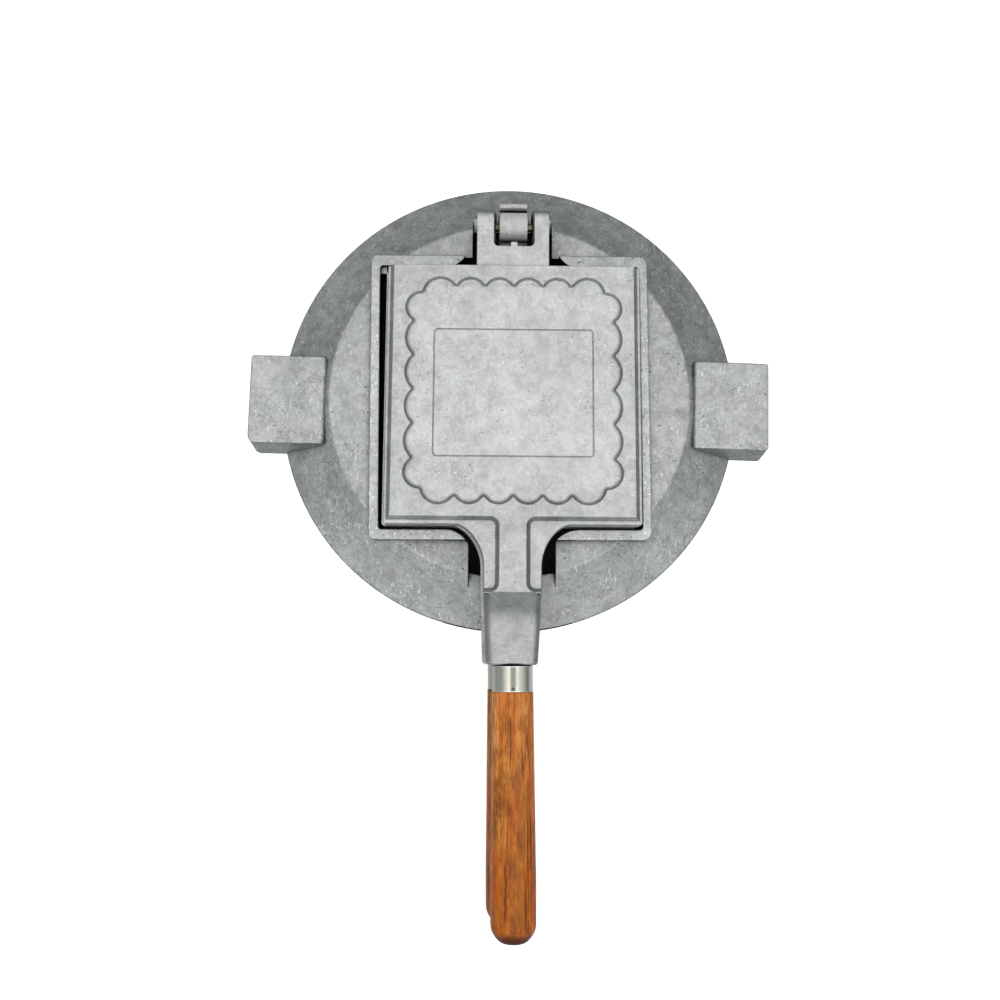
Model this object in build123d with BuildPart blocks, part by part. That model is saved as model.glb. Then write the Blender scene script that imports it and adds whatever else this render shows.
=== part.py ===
from build123d import *
import os
from math import hypot, sqrt

# Goro iron: a square two-plate wafer iron that lies in a round stand.
# Millimetres. +Z is up, +Y runs from the wooden handles towards the hinge.
# Origin: centre of the stand's round foot, on the surface that it stands on.

# ------------------------------------------------------------------ stand
RIM_R = 126.0            # foot of the skirt
TOP_R = 97.5             # flat top of the stand
TOP_Z = 17.5
SHELL = 4.0              # wall of the casting
EDGE_R = 1.6             # round between top and skirt
# corners of the square bar and of the opening in it, clockwise from the hinge side's left;
# the bar was cast a little out of square, and turned by half a degree
FRAME = [(-76.2, 78.3), (74.8, 78.9), (75.5, -77.4), (-74.3, -77.9)]
OPENING = [(-71.0, 72.2), (70.0, 72.6), (70.5, -71.8), (-68.9, -72.3)]
FRAME_ROUND = [3.4, 4.6, 5.0, 3.6]
FRAME_Z = 22.2
COLLAR_Z = 8.0           # lower edge of the collar round the opening
SADDLE_Z = 13.1          # floor of the two cuts that the iron rests in
CUT_HANDLE = (-21.6, 24.9)       # sides of the cut on the handle side
CUT_HINGE = (-20.9, 22.9)        # sides of the cut on the hinge side
LUG_X0, LUG_X1 = 99.8, 140.7
LUG_YC = -2.0
LUG_TOP = 24.0           # half width at the top
LUG_FOOT_FAR, LUG_FOOT_NEAR = 28.6, 26.9  # the same at the foot, hinge side and handle side
LUG_TURN = {1: -1.7, -1: -0.7}   # the lugs were cast slightly turned
LUG_SHIFT = {1: -1.2, -1: 0.2}

# ------------------------------------------------------------------- iron
IRON_X = 1.6             # the upper half lies a little to one side of its well
LOWER_X = 0.1            # the lower half, which slides a little along the hinge pin
PART_Z = 25.2            # parting plane between the two halves
GAP = 0.1                # each half stands this far off the parting plane
FLANGE_X = 67.1
FLANGE_Y0, FLANGE_Y1 = -70.7, 67.5
FLANGE_H = 9.5           # outer level of the flange, from the parting plane
FACE_H = 12.0            # outer level of the raised face
FACE_X, FACE_Y0, FACE_Y1 = 63.5, -66.8, 67.3
SLOPE = 2.4
RECESS_DEPTH = 2.0
RECESS_STEP, RECESS_RUN = 1.5, 1.25      # the steep upper part of its wall
RECESS_WALL = 2.2        # run of the whole wall
BORDER_X, BORDER_Y, BORDER_W = 42.2, 34.3, 0.65
BORDER_YC = -1.25
CAVITY_DEPTH = 1.7       # half of the biscuit's thickness
ARM_X = 15.0
RIB_X = 6.9
NECK_Y0, NECK_Y1 = -106.8, -142.1
NECK_RAMP = {1: -118.4, -1: -121.8}      # upper end of the ramp; the lower one clears the skirt
NECK_X0 = 15.0
NECK_X1 = {1: (13.4, 12.5), -1: (13.9, 12.7)}    # left and right sides at its end
NECK_H = 21.6
HANDLE_H = 13.1          # handle axis, from the parting plane

# ------------------------------------------------------------------ hinge
PIN_Y = 93.0
PIN_R = 2.40
PIN_BORE = 2.46          # running bores in the fork
WEB_X0, WEB_X1 = -19.8, 18.6     # sides of the web, from the middle of the upper half
WEB_H = 10.9
FORK_X = 11.0
FORK_DRAFT = 1.5         # the slot is this much narrower on each side at the pin
SLOT_Y = 78.5
FORK_R = 7.5
TONGUE_X = 7.5
TONGUE_XC = -0.25
TONGUE_R = 8.0
LOWER_WEB_Y = 82.4
TAIL_Y = 106.5
TAIL_TOP = 2.2

# ---------------------------------------------------------------- handles
STUD_R = 3.90
STUD_BORE = 3.96
STUD_Y0, STUD_Y1 = -124.2, -190.0
FERRULE_R = 10.2
FERRULE_WALL = 0.7
FERRULE_Y0, FERRULE_Y1 = -142.5, -155.3
WOOD_Y0, WOOD_Y1, WOOD_Y2 = -155.3, -275.2, -273.2     # shoulder, upper end, lower end
WOOD_R0, WOOD_R1 = 10.4, 11.15
HANDLE_ASKEW = 0.45      # degrees; both handles were fitted slightly askew
LOWER_SHIFT = -0.65      # the lower neck's hole was drilled a little off centre
BRAD_Y = -153.7
BRAD_R = 0.75

os.makedirs("parts", exist_ok=True)


def circle_through(a, b, c):
    """Centre and radius of the circle through three points."""
    d = 2 * (a[0] * (b[1] - c[1]) + b[0] * (c[1] - a[1]) + c[0] * (a[1] - b[1]))
    qa, qb, qc = a[0] ** 2 + a[1] ** 2, b[0] ** 2 + b[1] ** 2, c[0] ** 2 + c[1] ** 2
    ux = (qa * (b[1] - c[1]) + qb * (c[1] - a[1]) + qc * (a[1] - b[1])) / d
    uy = (qa * (c[0] - b[0]) + qb * (a[0] - c[0]) + qc * (b[0] - a[0])) / d
    return ux, uy, hypot(a[0] - ux, a[1] - uy)


def scallop_circles(k, pitch_x, cusp_y, apex_y, pitch_y, cusp_x, apex_x, notch, corner_x, corner_y):
    """Circles of the 24 outward arcs, clockwise from the hinge side, scaled by k."""
    top = []
    for i in range(-2, 2):
        a, c = (i * pitch_x, cusp_y), ((i + 1) * pitch_x, cusp_y)
        top.append((a, ((i + 0.5) * pitch_x, apex_y), c))
    right = []
    for i in range(2, -2, -1):
        a, c = (cusp_x, i * pitch_y), (cusp_x, (i - 1) * pitch_y)
        right.append((a, (apex_x, (i - 0.5) * pitch_y), c))
    tr1 = ((2 * pitch_x, cusp_y), corner_x, notch)
    tr2 = (notch, corner_y, (cusp_x, 2 * pitch_y))
    half = top + [tr1, tr2] + right
    # the other half is the same, turned by 180 degrees, with its own two corners
    def mirror(t):
        return tuple((x, -y) for x, y in reversed(t))
    half = half + [mirror(tr2), mirror(tr1)]
    other = [tuple((-x, -y) for x, y in t) for t in half]
    return [circle_through(*[(k * x, k * y) for x, y in t]) for t in half + other]


def scallop(circles, inset, tip=0.7):
    """Closed outline of outward arcs with rounded cusps, moved inwards by inset."""
    n = len(circles)
    knots = []
    for i in range(n):
        x1, y1, r1 = circles[i]
        x2, y2, r2 = circles[(i + 1) % n]
        a, b = r1 + tip, r2 + tip
        d = hypot(x2 - x1, y2 - y1)
        t = (a * a - b * b + d * d) / (2 * d)
        h = sqrt(a * a - t * t)
        ex, ey = (x2 - x1) / d, (y2 - y1) / d
        # clockwise travel: outwards is to the left
        knots.append((x1 + ex * t - ey * h, y1 + ey * t + ex * h))
    with BuildSketch() as sk:
        with BuildLine():
            for i in range(n):
                cx, cy, r = circles[i]
                k0, k1 = knots[i - 1], knots[i]
                ends = []
                for kx, ky in (k0, k1):
                    d = hypot(kx - cx, ky - cy)
                    ends.append((cx + (kx - cx) / d * (r - inset), cy + (ky - cy) / d * (r - inset)))
                ux = (ends[0][0] + ends[1][0]) / 2 - cx
                uy = (ends[0][1] + ends[1][1]) / 2 - cy
                u = hypot(ux, uy)
                ThreePointArc(ends[0], (cx + ux / u * (r - inset), cy + uy / u * (r - inset)), ends[1])
                nx, ny, nr = circles[(i + 1) % n]
                d = hypot(k1[0] - nx, k1[1] - ny)
                nxt = (nx + (k1[0] - nx) / d * (nr - inset), ny + (k1[1] - ny) / d * (nr - inset))
                mx, my = (ends[1][0] + nxt[0]) / 2 - k1[0], (ends[1][1] + nxt[1]) / 2 - k1[1]
                m = hypot(mx, my)
                ThreePointArc(
                    ends[1], (k1[0] + mx / m * (tip + inset), k1[1] + my / m * (tip + inset)), nxt
                )
        make_face()
    return sk.sketch


# the recess of the outer faces and, a little larger, the cavity of the cooking faces
OUTER = scallop_circles(
    1.0, 15.25, 56.3, 60.9, 18.35, 53.4, 57.3, (48.5, 53.0), (40.4, 60.9), (57.3, 45.5)
)
INNER = scallop_circles(
    1.035, 15.25, 56.3, 60.3, 18.35, 53.4, 56.9, (48.5, 53.0), (40.3, 60.3), (56.9, 45.4)
)
RECESS = scallop(OUTER, 0.0)
RECESS_MID = scallop(OUTER, RECESS_RUN)
RECESS_FLOOR = scallop(OUTER, RECESS_WALL)
CAVITY = scallop(INNER, 0.0)
CAVITY_FLOOR = scallop(INNER, 0.8)
CAVITY_LINE = scallop(INNER, 4.4)

# ornament of the cooking faces: a diagonal lattice with a rosette in the middle
with BuildSketch() as lattice_build:
    for k in range(-4, 5):
        with Locations((k * 20.0, 0)):
            Rectangle(0.9, 240, rotation=45)
            Rectangle(0.9, 240, rotation=-45)
    with BuildSketch(mode=Mode.INTERSECT):
        add(CAVITY_LINE)
    with BuildSketch(mode=Mode.SUBTRACT):
        Circle(25.5)
LATTICE = lattice_build.sketch

with BuildSketch() as dots_build:
    for i in range(-3, 4):
        for j in range(-3, 4):
            x, y = i * 20.0, j * 20.0
            if hypot(x, y) > 27 and abs(x) < 50 and abs(y) < 50:
                with Locations((x, y)):
                    Circle(2.1)
    for i in range(-3, 3):
        for j in range(-3, 3):
            x, y = i * 20.0 + 10, j * 20.0 + 10
            if hypot(x, y) > 29 and abs(x) < 49 and abs(y) < 49:
                with Locations((x, y)):
                    Circle(1.2)
DOTS = dots_build.sketch

with BuildSketch() as ring_build:
    Circle(24.6)
    Circle(23.4, mode=Mode.SUBTRACT)
    with PolarLocations(0, 8):
        with Locations((13.2, 0)):
            Ellipse(7.2, 3.1)
    Circle(3.6)
ROSETTE = ring_build.sketch

# arm of each half, seen from above: concave sides run from the plate into a straight bar
with BuildSketch() as arm_build:
    with BuildLine():
        a1 = Line((-32.0, -69.0), (32.0, -69.0))
        a2 = Line((32.0, -69.0), (28.2, -70.9))
        a3 = Spline((28.2, -70.9), (18.9, -79.2), (ARM_X, -93.0), tangents=((-1.0, -0.42), (0.0, -1.0)))
        a4 = Line((ARM_X, -93.0), (ARM_X, NECK_Y0 - 3))
        a5 = Line((ARM_X, NECK_Y0 - 3), (-ARM_X, NECK_Y0 - 3))
        a6 = Line((-ARM_X, NECK_Y0 - 3), (-ARM_X, -93.0))
        a7 = Spline((-ARM_X, -93.0), (-18.9, -79.2), (-28.2, -70.9), tangents=((0.0, 1.0), (-1.0, 0.42)))
        a8 = Line((-28.2, -70.9), (-32.0, -69.0))
    make_face()
ARM = arm_build.sketch


def at(plane, sketch):
    """A sketch drawn about the origin, moved to a plane."""
    return plane * sketch


def face_outline(d):
    """Raised face with the rib along the arm, grown by d; its hinge edge stays."""
    y_foot = NECK_Y0 + 1.0
    r = 4.9 - d
    x, y = RIB_X + d, FACE_Y0 - d
    with BuildSketch() as sk:
        with BuildLine():
            pts = [(-FACE_X - d, FACE_Y1), (FACE_X + d, FACE_Y1), (FACE_X + d, y), (x + r, y)]
            for a, b in zip(pts, pts[1:]):
                Line(a, b)
            q = r * (1 - sqrt(0.5))
            ThreePointArc((x + r, y), (x + q, y - q), (x, y - r))
            Line((x, y - r), (x, y_foot + d + r))
            ThreePointArc((x, y_foot + d + r), (x + q, y_foot + d + q), (x + r, y_foot + d))
            Line((x + r, y_foot + d), (ARM_X - 0.5, y_foot + d))
            Line((ARM_X - 0.5, y_foot + d), (ARM_X - 0.5, y_foot - 0.4))
            Line((ARM_X - 0.5, y_foot - 0.4), (-ARM_X + 0.5, y_foot - 0.4))
            Line((-ARM_X + 0.5, y_foot - 0.4), (-ARM_X + 0.5, y_foot + d))
            Line((-ARM_X + 0.5, y_foot + d), (-x - r, y_foot + d))
            ThreePointArc((-x - r, y_foot + d), (-x - q, y_foot + d + q), (-x, y_foot + d + r))
            Line((-x, y_foot + d + r), (-x, y - r))
            ThreePointArc((-x, y - r), (-x - q, y - q), (-x - r, y))
            Line((-x - r, y), (-FACE_X - d, y))
            Line((-FACE_X - d, y), (-FACE_X - d, FACE_Y1))
        make_face()
    return sk.sketch


def neck_block(s):
    """The thick end of one half, with a ramp, a narrowing plan and rounded shoulders."""
    x_end = {-1: NECK_X1[s][0], 1: NECK_X1[s][1]}
    with BuildPart() as block:
        with BuildSketch(Plane.YZ.offset(-NECK_X0)):
            with BuildLine():
                Polyline(
                    (NECK_Y0 + 1.2, s * GAP), (NECK_Y0 + 1.2, s * FACE_H),
                    (NECK_RAMP[s], s * NECK_H), (NECK_Y1, s * NECK_H), (NECK_Y1, s * GAP), close=True,
                )
            make_face()
        extrude(amount=2 * NECK_X0)
        fold = [
            e for e in block.edges()
            if abs(e.center().Y - NECK_RAMP[s]) < 0.01 and abs(abs(e.center().Z) - NECK_H) < 0.01
            and abs(e.center().X) < 0.01
        ]
        fillet(fold, 16.0)
        for side in (1, -1):
            with BuildSketch(Plane.XY.offset(-40)):
                with BuildLine():
                    Polyline(
                        (side * NECK_X0, NECK_Y0 + 4), (side * 30, NECK_Y0 + 4),
                        (side * 30, NECK_Y1 - 3), (side * x_end[side], NECK_Y1 - 3),
                        (side * x_end[side], NECK_Y1), close=True,
                    )
                make_face()
            extrude(amount=80, mode=Mode.SUBTRACT)
        shoulders = [
            e for e in block.edges()
            if abs(e.center().X) > 12.2 and abs(e.center().Z) > FACE_H
            and e.bounding_box().size.Y > 1.0
            and e.bounding_box().size.X < 2.5
        ]
        fillet(shoulders, 4.6)
        ends = [
            e for e in block.edges().filter_by(Axis.Z)
            if e.center().Y < NECK_Y1 + 0.5 and e.length > 8
        ]
        fillet(ends, 1.5)
    return block.part


# ============================================================== base_stand
slope_len = hypot(RIM_R - TOP_R, TOP_Z)
drop = SHELL * slope_len / TOP_Z               # wall measured along the foot
INNER_FOOT = RIM_R - drop
INNER_TOP = INNER_FOOT - (RIM_R - TOP_R) * (TOP_Z - SHELL) / TOP_Z

with BuildPart() as base_stand:
    # the two side lugs, drafted on their long sides, hollow from below
    for side in (1, -1):
        x0, x1 = side * (LUG_X0 - 120.0), side * (LUG_X1 - 120.0)
        with BuildPart(mode=Mode.PRIVATE) as lug:
            with BuildSketch(Plane.YZ.offset(x0)):
                with BuildLine():
                    Polyline(
                        (-LUG_FOOT_NEAR, 0), (-LUG_TOP, TOP_Z),
                        (LUG_TOP, TOP_Z), (LUG_FOOT_FAR, 0), close=True,
                    )
                make_face()
            extrude(amount=x1 - x0)
            corners = [e for e in lug.edges() if abs(e.center().X - x1) < 0.1 and e.length > 17 and e.length < 19]
            fillet([e for e in corners if e.center().Y < 0], 4.4 if side < 0 else 2.2)
            corners = [
                e for e in lug.edges()
                if abs(e.center().X - x1) < 0.1 and 17 < e.length < 19 and e.center().Y > 0
            ]
            fillet(corners, 1.4)
            rim = lug.faces().sort_by(Axis.Z)[-1].edges()
            inner = [e for e in rim if abs(e.center().X - x0) < 0.1]
            fillet([e for e in rim if abs(e.center().X - x0) >= 0.1], 0.8)
            inner = [
                e for e in lug.edges()
                if abs(e.center().X - x0) < 0.1 and abs(e.center().Z - TOP_Z) < 0.1 and e.length > 30
            ]
            fillet(inner, 2.2)
            with BuildSketch(Plane.YZ.offset(x0 + side * 3.0)):
                with BuildLine():
                    Polyline(
                        (-LUG_FOOT_NEAR + SHELL, -1), (-LUG_TOP + SHELL, TOP_Z - SHELL),
                        (LUG_TOP - SHELL, TOP_Z - SHELL), (LUG_FOOT_FAR - SHELL, -1),
                        close=True,
                    )
                make_face()
            extrude(amount=x1 - x0 - side * (3.0 + SHELL), mode=Mode.SUBTRACT)
        place = Pos(side * 120.0, LUG_YC + LUG_SHIFT[side], 0) * Rot(0, 0, LUG_TURN[side])
        add(place * lug.part)
    # nothing of the lugs inside the skirt
    with BuildSketch(Plane.XZ):
        with BuildLine():
            Polyline(
                (0, -1), (INNER_FOOT + 1.6, -1), (INNER_TOP, TOP_Z - SHELL),
                (0, TOP_Z - SHELL), close=True,
            )
        make_face()
    revolve(axis=Axis.Z, mode=Mode.SUBTRACT)
    # skirt and top plate
    with BuildSketch(Plane.XZ):
        with BuildLine():
            Polyline(
                (0, TOP_Z - SHELL), (INNER_TOP, TOP_Z - SHELL), (INNER_FOOT, 0),
                (RIM_R, 0), (RIM_R - 0.65, 1.1), (TOP_R, TOP_Z), (0, TOP_Z), close=True,
            )
        make_face()
        corner = ring_corner = [
            v for v in vertices() if abs(v.X - TOP_R) < 1e-3 and v.Z > TOP_Z - 1e-3
        ]
        if not corner:
            corner = [v for v in vertices() if abs(v.X - TOP_R) < 1e-3]
        fillet(corner, EDGE_R * 2)
    revolve(axis=Axis.Z)
    # collar and raised bar round the square opening
    with BuildSketch(Plane.XY.offset(COLLAR_Z)):
        with BuildLine():
            Polyline(*FRAME, close=True)
        make_face()
        for (x, y), r in zip(FRAME, FRAME_ROUND):
            fillet([v for v in vertices() if hypot(v.X - x, v.Y - y) < 0.01], r)
        with BuildSketch(mode=Mode.SUBTRACT):
            with BuildLine():
                Polyline(*OPENING, close=True)
            make_face()
            fillet(vertices(), 1.6)
    extrude(amount=FRAME_Z - COLLAR_Z)
    fillet(base_stand.edges().group_by(Axis.Z)[-1], 0.75)
    with BuildSketch(Plane.XY.offset(-1)):
        with BuildLine():
            Polyline(*OPENING, close=True)
        make_face()
        fillet(vertices(), 1.6)
    extrude(amount=FRAME_Z + 5, mode=Mode.SUBTRACT)
    # small pad cast in one corner of the well
    with BuildSketch(Plane.XY.offset(11.0)):
        with Locations((-70.0, 70.8)):
            Rectangle(4.8, 5.0)
    extrude(amount=9.0)
    # cut on the handle side: through the top plate, then down to the saddle
    with BuildSketch(Plane.XY.offset(-1)):
        with BuildLine():
            y_in, y_bar = -71.0, -77.7
            xl, xr = CUT_HANDLE
            q1 = Line((xl - 12.0, y_in), (xr + 11.3, y_in))
            q2 = Line((xr + 11.3, y_in), (xr + 11.3, y_in - 1.2))
            q3 = ThreePointArc((xr + 11.3, y_in - 1.2), (xr + 3.7, y_bar + 3.0), (xr, y_bar - 0.2))
            q4 = Line((xr, y_bar - 0.2), (xr, -INNER_TOP + 1.6))
            q5 = Line((xr, -INNER_TOP + 1.6), (xl, -INNER_TOP + 1.6))
            q6 = Line((xl, -INNER_TOP + 1.6), (xl, y_bar - 2.0))
            q7 = ThreePointArc((xl, y_bar - 2.0), (xl - 3.4, y_bar + 1.9), (xl - 12.0, y_in - 1.2))
            q8 = Line((xl - 12.0, y_in - 1.2), (xl - 12.0, y_in))
        make_face()
    extrude(amount=FRAME_Z + 5, mode=Mode.SUBTRACT)
    with BuildSketch(Plane.XY.offset(SADDLE_Z)):
        with Locations(((CUT_HANDLE[0] + CUT_HANDLE[1]) / 2, -103.0)):
            Rectangle(CUT_HANDLE[1] - CUT_HANDLE[0], 34.0)
    extrude(amount=12, mode=Mode.SUBTRACT)
    # the same on the hinge side; the bar ends wider apart than the cut in the top plate
    with BuildSketch(Plane.XY.offset(-1)):
        with BuildLine():
            y_in2, y_bar2 = 71.5, 78.5
            xl, xr = CUT_HINGE
            Line((-30.6, y_in2), (32.2, y_in2))
            Line((32.2, y_in2), (32.2, y_in2 + 1.6))
            ThreePointArc((32.2, y_in2 + 1.6), (28.8, 75.6), (26.6, y_bar2 + 0.3))
            Line((26.6, y_bar2 + 0.3), (xr, y_bar2 + 0.3))
            Line((xr, y_bar2 + 0.3), (xr, INNER_TOP - 1.6))
            Line((xr, INNER_TOP - 1.6), (xl, INNER_TOP - 1.6))
            Line((xl, INNER_TOP - 1.6), (xl, y_bar2 + 0.3))
            Line((xl, y_bar2 + 0.3), (-24.5, y_bar2 + 0.3))
            ThreePointArc((-24.5, y_bar2 + 0.3), (-26.8, 75.4), (-30.6, y_in2 + 1.3))
            Line((-30.6, y_in2 + 1.3), (-30.6, y_in2))
        make_face()
    extrude(amount=FRAME_Z + 5, mode=Mode.SUBTRACT)
    with BuildSketch(Plane.XY.offset(SADDLE_Z)):
        with Locations(((CUT_HINGE[0] + CUT_HINGE[1]) / 2, 103.0)):
            Rectangle(CUT_HINGE[1] - CUT_HINGE[0], 34.0)
    extrude(amount=12, mode=Mode.SUBTRACT)
base_stand.part.label = "base_stand"


# ============================================================ upper_plate
def plate_plane(s, h):
    """A plane over the iron, h outwards from the parting plane, s = 1 above and -1 below."""
    return Plane(origin=(IRON_X if s > 0 else LOWER_X, 0, PART_Z + s * h), z_dir=(0, 0, 1))

ASKEW = Pos(IRON_X, NECK_Y1, 0) * Rot(0, 0, HANDLE_ASKEW) * Pos(-IRON_X, -NECK_Y1, 0)
ASKEW_LOWER = Pos(LOWER_X + LOWER_SHIFT, NECK_Y1, 0) * Rot(0, 0, HANDLE_ASKEW) * Pos(-LOWER_X, -NECK_Y1, 0)

with BuildPart() as upper_plate:
    # flange with its arm
    with BuildSketch(plate_plane(1, GAP)):
        with Locations((0, (FLANGE_Y0 + FLANGE_Y1) / 2)):
            RectangleRounded(2 * FLANGE_X, FLANGE_Y1 - FLANGE_Y0, 1.3)
        add(ARM)
    extrude(amount=FLANGE_H - GAP)
    fillet(upper_plate.edges().group_by(Axis.Z)[-1], 0.7)
    # raised face and the rib along the arm
    loft(
        sections=[
            at(plate_plane(1, FLANGE_H - 0.3), face_outline(SLOPE)).faces()[0],
            at(plate_plane(1, FACE_H), face_outline(0.0)).faces()[0],
        ],
        ruled=True,
    )
    add(Pos(IRON_X, 0, PART_Z) * neck_block(1))
    # web and fork of the hinge
    with BuildSketch(Plane.YZ.offset(IRON_X + WEB_X0)):
        with BuildLine():
            Polyline(
                (PIN_Y + FORK_R, PART_Z + 4.6), (PIN_Y + FORK_R, PART_Z), (PIN_Y, PART_Z - 1),
                (PIN_Y - 4, PART_Z + GAP), (FLANGE_Y1 - 1, PART_Z + GAP),
                (FLANGE_Y1 - 1, PART_Z + WEB_H), (PIN_Y + 1.6, PART_Z + WEB_H),
            )
            ThreePointArc(
                (PIN_Y + 1.6, PART_Z + WEB_H), (PIN_Y + 5.75, PART_Z + 9.05),
                (PIN_Y + FORK_R, PART_Z + 4.6),
            )
        make_face()
        with Locations((PIN_Y, PART_Z)):
            Circle(FORK_R)
    extrude(amount=WEB_X1 - WEB_X0)
    # the slot narrows downwards; a small cast nub stands on its floor
    with BuildPart(mode=Mode.PRIVATE) as slot:
        for h, x in ((WEB_H + 4, FORK_X + 0.4), (0.0, FORK_X - FORK_DRAFT)):
            with BuildSketch(plate_plane(1, h)):
                with Locations((0, (SLOT_Y + PIN_Y + 20) / 2)):
                    RectangleRounded(2 * x, PIN_Y + 20 - SLOT_Y, 2.6)
        loft(ruled=True)
        with BuildSketch(plate_plane(1, -20)):
            with Locations((0, (SLOT_Y + PIN_Y + 20) / 2)):
                RectangleRounded(2 * (FORK_X - FORK_DRAFT), PIN_Y + 20 - SLOT_Y, 2.6)
        extrude(amount=20.0)
        with BuildSketch(plate_plane(1, -21)):
            with Locations((0, SLOT_Y)):
                Rectangle(3.4, 4.6)
        extrude(amount=45, mode=Mode.SUBTRACT)
    add(slot.part, mode=Mode.SUBTRACT)
    with BuildSketch(Plane.YZ.offset(IRON_X + WEB_X0 - 1)):
        with Locations((PIN_Y, PART_Z)):
            Circle(PIN_BORE)
    extrude(amount=WEB_X1 - WEB_X0 + 2, mode=Mode.SUBTRACT)
    # scalloped recess and the fine line on the outer face
    loft(
        sections=[
            at(plate_plane(1, FACE_H), RECESS).faces()[0],
            at(plate_plane(1, FACE_H - RECESS_STEP), RECESS_MID).faces()[0],
            at(plate_plane(1, FACE_H - RECESS_DEPTH), RECESS_FLOOR).faces()[0],
        ],
        ruled=True, mode=Mode.SUBTRACT,
    )
    with BuildSketch(plate_plane(1, FACE_H - RECESS_DEPTH)):
        with Locations((0, BORDER_YC)):
            RectangleRounded(2 * BORDER_X, 2 * BORDER_Y, 2.2)
            RectangleRounded(
                2 * (BORDER_X - BORDER_W), 2 * (BORDER_Y - BORDER_W), 1.6, mode=Mode.SUBTRACT
            )
    extrude(amount=-0.35, mode=Mode.SUBTRACT)
    # cooking face: a scalloped cavity with a raised ornament
    loft(
        sections=[
            at(plate_plane(1, GAP), CAVITY).faces()[0],
            at(plate_plane(1, GAP + CAVITY_DEPTH), CAVITY_FLOOR).faces()[0],
        ],
        ruled=True, mode=Mode.SUBTRACT,
    )
    extrude(at(plate_plane(1, GAP + CAVITY_DEPTH), LATTICE), amount=-0.75)
    extrude(at(plate_plane(1, GAP + CAVITY_DEPTH), DOTS), amount=-0.75)
    extrude(at(plate_plane(1, GAP + CAVITY_DEPTH), ROSETTE), amount=-0.75)
    # tapped hole for the handle's rod
    with BuildPart(mode=Mode.PRIVATE) as bore:
        with BuildSketch(Plane.XZ.offset(-(NECK_Y1 - 1))):
            with Locations((IRON_X, PART_Z + HANDLE_H)):
                Circle(STUD_BORE)
        extrude(amount=-20.0)
    add(ASKEW * bore.part, mode=Mode.SUBTRACT)
upper_plate.part.label = "upper_plate"


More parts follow.
